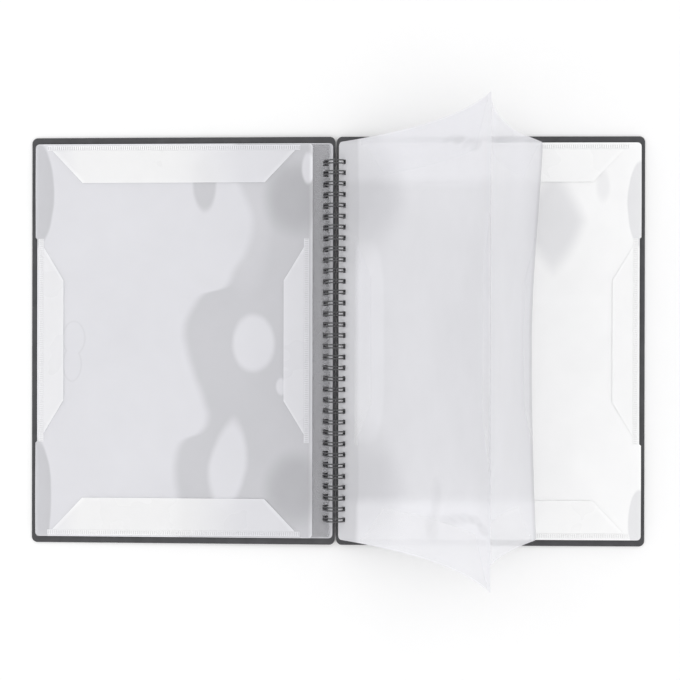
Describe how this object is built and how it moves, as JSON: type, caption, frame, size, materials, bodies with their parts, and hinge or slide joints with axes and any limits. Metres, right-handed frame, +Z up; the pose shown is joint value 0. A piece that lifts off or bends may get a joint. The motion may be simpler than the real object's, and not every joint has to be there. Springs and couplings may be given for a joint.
{
  "type": "music folder",
  "caption": "Wire-bound music folder lying open: dark covers, clear fold-out leaves whose edge flaps hold sheets so they can be written on, with a leaf standing half turned.",
  "frame": {"origin": "on the table under the spine, at the middle of the binding wire", "axes": "+X to the right across the open folder, +Y up the page, +Z up from the table"},
  "size_m": [0.485, 0.322, 0.2209],
  "materials": {
    "cover": "dark grey plastic board, fine matt grain",
    "wire": "dark grey coated steel wire, satin",
    "film": "clear film with a slight anti-glare haze",
    "flap_film": "clear film, welded along its outer edge"
  },
  "bodies": {
    "back_cover": {"back_cover": "cover", "twin_loop_wire": "wire"},
    "front_cover": {"front_cover": "cover"},
    "left_leaf_1": {"left_leaf_1_inner_panel": "film", "left_leaf_1_outer_panel": "film"},
    "left_leaf_2": {"left_leaf_2_inner_panel": "film", "left_leaf_2_outer_panel": "film"},
    "left_leaf_3": {"left_leaf_3_inner_panel": "film"},
    "left_leaf_3_fold_out": {"left_leaf_3_outer_panel": "film"},
    "left_leaf_3_top_flap": {"left_leaf_3_outer_flap_top": "flap_film"},
    "left_leaf_3_bottom_flap": {"left_leaf_3_outer_flap_bottom": "flap_film"},
    "left_leaf_3_spine_flap": {"left_leaf_3_outer_flap_spine": "flap_film"},
    "left_leaf_3_crease_flap": {"left_leaf_3_outer_flap_crease": "flap_film"},
    "right_leaf_1": {"right_leaf_1_inner_panel": "film", "right_leaf_1_outer_panel": "film"},
    "right_leaf_2": {"right_leaf_2_inner_panel": "film", "right_leaf_2_outer_panel": "film"},
    "right_leaf_3": {"right_leaf_3_inner_panel": "film", "right_leaf_3_outer_panel": "film"},
    "right_leaf_4": {"right_leaf_4_inner_panel": "film", "right_leaf_4_outer_panel": "film", "right_leaf_4_inner_flap_top": "flap_film", "right_leaf_4_inner_flap_bottom": "flap_film", "right_leaf_4_inner_flap_spine": "flap_film", "right_leaf_4_inner_flap_crease": "flap_film"},
    "turning_leaf": {"turning_leaf_inner_panel": "film", "turning_leaf_inner_flap_top": "flap_film", "turning_leaf_inner_flap_bottom": "flap_film", "turning_leaf_inner_flap_spine": "flap_film", "turning_leaf_inner_flap_crease": "flap_film"},
    "turning_leaf_fold_out": {"turning_leaf_outer_panel": "film", "turning_leaf_outer_flap_top": "flap_film", "turning_leaf_outer_flap_bottom": "flap_film", "turning_leaf_outer_flap_spine": "flap_film", "turning_leaf_outer_flap_crease": "flap_film"}
  },
  "joints": [
    {"name": "front_cover_hinge", "type": "hinge", "parent": "back_cover", "child": "front_cover", "pos_m": [0, 0, 0.00975], "axis": [0, -1, 0], "range_deg": [-180, 0], "deforming": ["turning_leaf_inner_panel", "turning_leaf_outer_panel", "turning_leaf_inner_flap_top", "turning_leaf_inner_flap_bottom", "turning_leaf_inner_flap_spine", "turning_leaf_inner_flap_crease", "turning_leaf_outer_flap_top", "turning_leaf_outer_flap_bottom", "turning_leaf_outer_flap_spine", "turning_leaf_outer_flap_crease"]},
    {"name": "left_leaf_1_hinge", "type": "hinge", "parent": "back_cover", "child": "left_leaf_1", "pos_m": [0, 0, 0.00975], "axis": [0, -1, 0], "range_deg": [-181, 0]},
    {"name": "left_leaf_2_hinge", "type": "hinge", "parent": "back_cover", "child": "left_leaf_2", "pos_m": [0, 0, 0.00975], "axis": [0, -1, 0], "range_deg": [-181, 0]},
    {"name": "left_leaf_3_hinge", "type": "hinge", "parent": "back_cover", "child": "left_leaf_3", "pos_m": [0, 0, 0.00975], "axis": [0, -1, 0], "range_deg": [-181, 0]},
    {"name": "left_leaf_3_fold_out_hinge", "type": "hinge", "parent": "left_leaf_3", "child": "left_leaf_3_fold_out", "pos_m": [-0.23885, 0, 0.00444], "axis": [0, 1, 0], "range_deg": [-180, 0]},
    {"name": "left_leaf_3_top_flap_lift", "type": "hinge", "parent": "left_leaf_3_fold_out", "child": "left_leaf_3_top_flap", "pos_m": [-0.12862, 0.1502, 0.00621], "axis": [-0.9999, 0, -0.0117], "range_deg": [0, 45]},
    {"name": "left_leaf_3_bottom_flap_lift", "type": "hinge", "parent": "left_leaf_3_fold_out", "child": "left_leaf_3_bottom_flap", "pos_m": [-0.12862, -0.1502, 0.00621], "axis": [0.9999, 0, 0.0117], "range_deg": [0, 45]},
    {"name": "left_leaf_3_spine_flap_lift", "type": "hinge", "parent": "left_leaf_3_fold_out", "child": "left_leaf_3_spine_flap", "pos_m": [-0.02507, 0, 0.00742], "axis": [0, 1, 0], "range_deg": [0, 45]},
    {"name": "left_leaf_3_crease_flap_lift", "type": "hinge", "parent": "left_leaf_3_fold_out", "child": "left_leaf_3_crease_flap", "pos_m": [-0.23216, 0, 0.005], "axis": [0, -1, 0], "range_deg": [0, 45]},
    {"name": "leaf_turn", "type": "hinge", "parent": "back_cover", "child": "turning_leaf", "pos_m": [0, 0, 0.00975], "axis": [0, -1, 0], "range_deg": [0, 106]},
    {"name": "fold_out_hinge", "type": "hinge", "parent": "turning_leaf", "child": "turning_leaf_fold_out", "pos_m": [0.10403, 0, 0.22059], "axis": [0, -1, 0], "range_deg": [0, 160]},
    {"name": "right_leaf_4_hinge", "type": "hinge", "parent": "back_cover", "child": "right_leaf_4", "pos_m": [0, 0, 0.00975], "axis": [0, -1, 0], "range_deg": [0, 85]},
    {"name": "right_leaf_3_hinge", "type": "hinge", "parent": "back_cover", "child": "right_leaf_3", "pos_m": [0, 0, 0.00975], "axis": [0, -1, 0], "range_deg": [0, 64]},
    {"name": "right_leaf_2_hinge", "type": "hinge", "parent": "back_cover", "child": "right_leaf_2", "pos_m": [0, 0, 0.00975], "axis": [0, -1, 0], "range_deg": [0, 43]},
    {"name": "right_leaf_1_hinge", "type": "hinge", "parent": "back_cover", "child": "right_leaf_1", "pos_m": [0, 0, 0.00975], "axis": [0, -1, 0], "range_deg": [0, 22]}
  ],
  "couplings": [
    {"joint": "left_leaf_1_hinge", "follows": "front_cover_hinge", "ratio": 1.0015},
    {"joint": "left_leaf_2_hinge", "follows": "front_cover_hinge", "ratio": 1.003},
    {"joint": "left_leaf_3_hinge", "follows": "front_cover_hinge", "ratio": 1.005},
    {"joint": "right_leaf_4_hinge", "follows": "leaf_turn", "ratio": 0.8},
    {"joint": "right_leaf_3_hinge", "follows": "leaf_turn", "ratio": 0.6},
    {"joint": "right_leaf_2_hinge", "follows": "leaf_turn", "ratio": 0.4},
    {"joint": "right_leaf_1_hinge", "follows": "leaf_turn", "ratio": 0.2}
  ]
}
